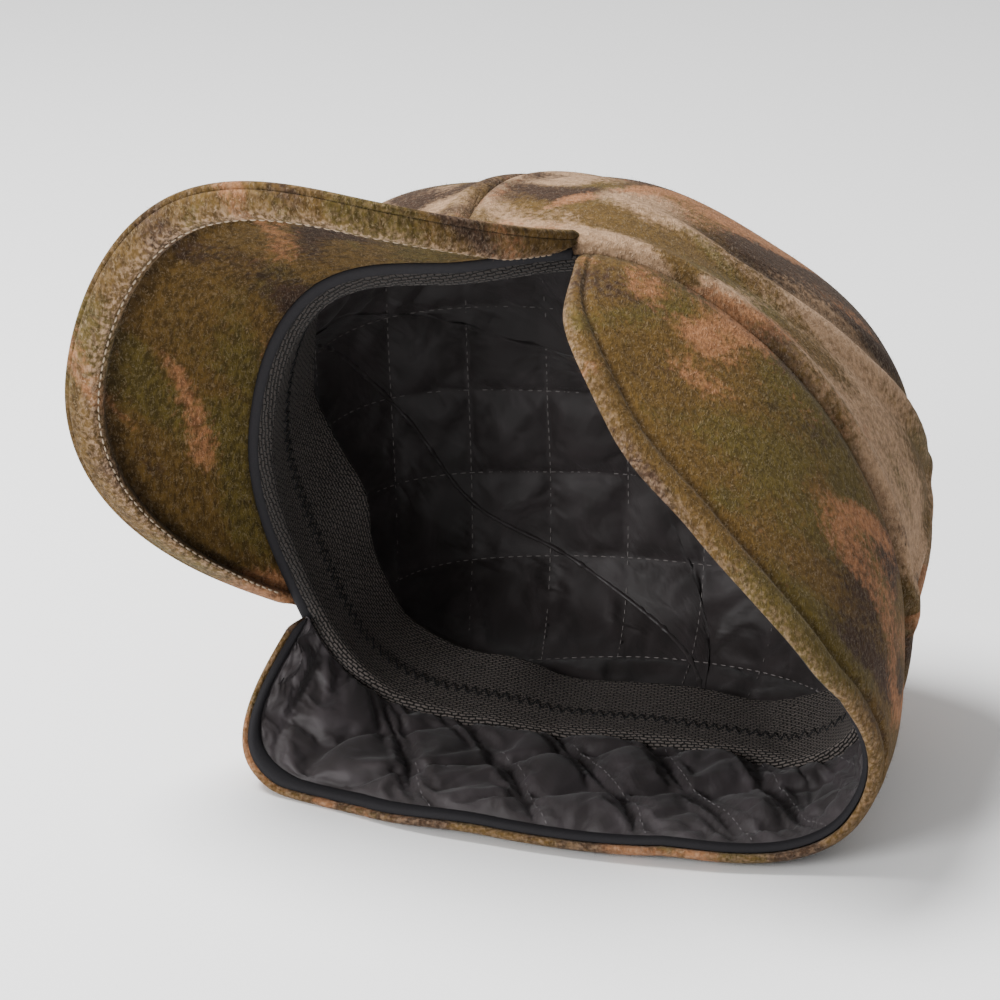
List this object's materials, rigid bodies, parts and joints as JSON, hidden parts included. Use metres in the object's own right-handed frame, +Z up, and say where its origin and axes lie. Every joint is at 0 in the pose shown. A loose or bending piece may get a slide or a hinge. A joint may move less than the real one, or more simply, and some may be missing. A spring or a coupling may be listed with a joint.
{
  "type": "hunting cap with ear flap band",
  "caption": "Wool hunting cap lying on its side, with a curved peak, quilted dark lining, knitted sweatband and a fold-down ear and neck flap.",
  "frame": {"origin": "centre of the bounding box's bottom face, on the floor the cap lies on", "axes": "+Z up from the floor, the head opening towards -Y, the peak towards -X, as in the picture"},
  "size_m": [0.2604, 0.2102, 0.2062],
  "materials": {
    "wool": "felted wool nap in green, brown and rust camouflage",
    "quilted_nylon": "dark charcoal quilted nylon with a faint sheen",
    "knit": "dark charcoal knitted band",
    "tape": "smooth black tape"
  },
  "bodies": {
    "root": {"crown_centre_panel": "wool", "crown_left_panel": "wool", "crown_right_panel": "wool", "lining_centre_panel": "quilted_nylon", "lining_left_panel": "quilted_nylon", "lining_right_panel": "quilted_nylon", "sweatband": "knit", "front_binding": "tape", "peak_top_cloth": "wool", "peak_under_cloth": "wool", "flap_shell": "wool", "flap_lining": "quilted_nylon", "flap_binding": "tape"}
  },
  "joints": []
}
